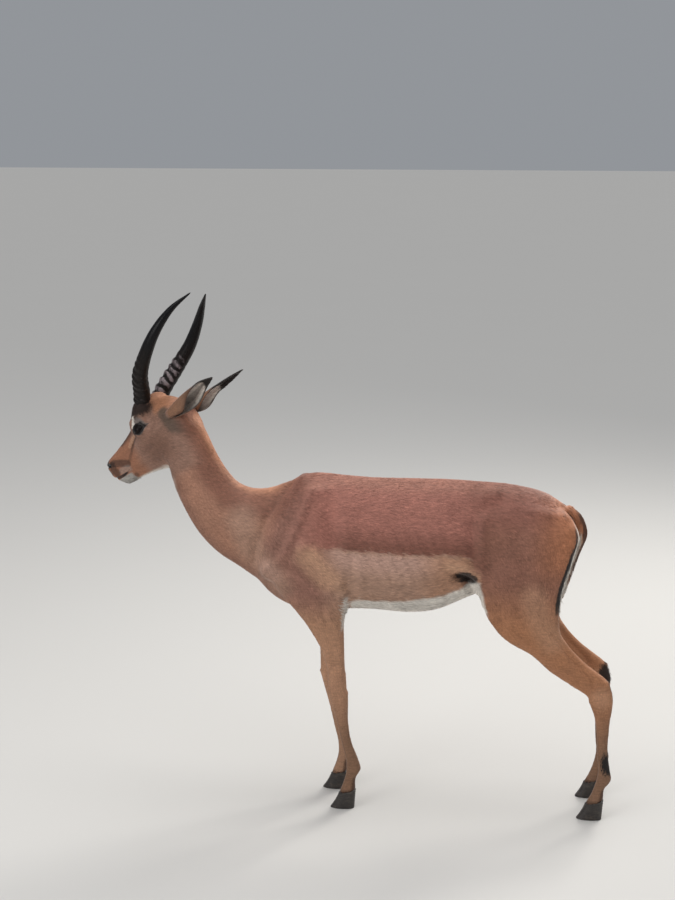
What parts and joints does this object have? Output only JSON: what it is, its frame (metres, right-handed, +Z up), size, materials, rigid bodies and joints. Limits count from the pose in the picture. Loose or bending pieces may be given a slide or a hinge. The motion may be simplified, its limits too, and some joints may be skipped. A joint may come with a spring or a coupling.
{
  "type": "impala antelope, life-size still model",
  "caption": "Life-size young male impala standing still with ringed horns, turned head, reddish saddle, tan flanks and a white belly.",
  "frame": {"origin": "on the floor, below the middle of the animal's bounding box", "axes": "+Z up, the animal faces -X and its left side faces -Y"},
  "size_m": [1.347, 0.2698, 1.3457],
  "materials": {
    "coat": "short sleek fur, reddish saddle, tan flank, white belly and black markings",
    "horn": "ringed black-brown horn, smooth towards the tip",
    "eye": "moist dark glass eye",
    "hoof": "dark satin hoof horn with fine growth lines"
  },
  "bodies": {
    "root": {"head": "coat", "neck": "coat", "trunk": "coat", "tail": "coat", "ear_left": "coat", "ear_right": "coat", "foreleg_upper_left": "coat", "foreleg_upper_right": "coat", "foreleg_lower_left": "coat", "foreleg_lower_right": "coat", "hindleg_upper_left": "coat", "hindleg_upper_right": "coat", "hindleg_lower_left": "coat", "hindleg_lower_right": "coat", "horn_left": "horn", "horn_right": "horn", "eye_left": "eye", "eye_right": "eye", "forehoof_inner_left": "hoof", "forehoof_outer_left": "hoof", "forehoof_inner_right": "hoof", "forehoof_outer_right": "hoof", "hindhoof_inner_left": "hoof", "hindhoof_outer_left": "hoof", "hindhoof_inner_right": "hoof", "hindhoof_outer_right": "hoof"}
  },
  "joints": []
}
